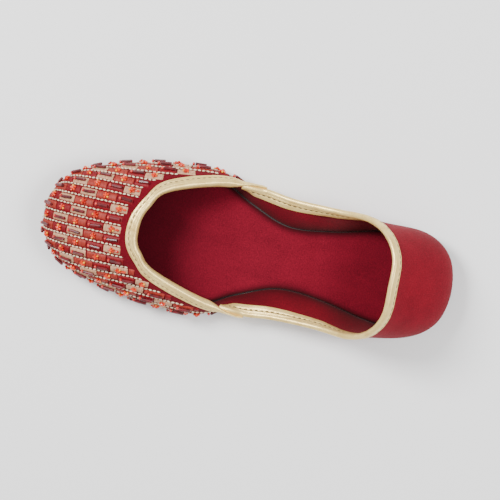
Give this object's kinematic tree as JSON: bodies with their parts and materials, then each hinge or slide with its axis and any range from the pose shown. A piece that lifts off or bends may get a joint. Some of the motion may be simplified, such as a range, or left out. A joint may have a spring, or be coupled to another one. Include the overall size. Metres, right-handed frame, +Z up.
{
  "type": "mojari shoe",
  "caption": "Low round-toed slip-on shoe with an embroidered and beaded vamp, rolled gold binding on throat and collar, and a thin flat sole.",
  "frame": {"origin": "on the floor under the middle of the shoe, centred on its length and its width", "axes": "+Z up, +Y towards the heel and -Y towards the toe, +X across the shoe; the sole is the same on both sides of the plane X = 0"},
  "size_m": [0.0877, 0.2488, 0.0622],
  "materials": {
    "red_cloth": "matte brushed red cloth with a fine nap",
    "embroidery": "satin stitch in deep red, brick and cream with cream cord and glass beads",
    "insole_cloth": "matte brushed dark red cloth",
    "sole_rubber": "matte black",
    "gold_binding": "pale gold metallic leather, soft sheen, rolled and stitched"
  },
  "bodies": {
    "root": {"upper": "red_cloth", "vamp": "embroidery", "insole": "insole_cloth", "outsole": "sole_rubber", "heel_lift": "sole_rubber", "throat_binding": "gold_binding", "collar_binding": "gold_binding"}
  },
  "joints": []
}
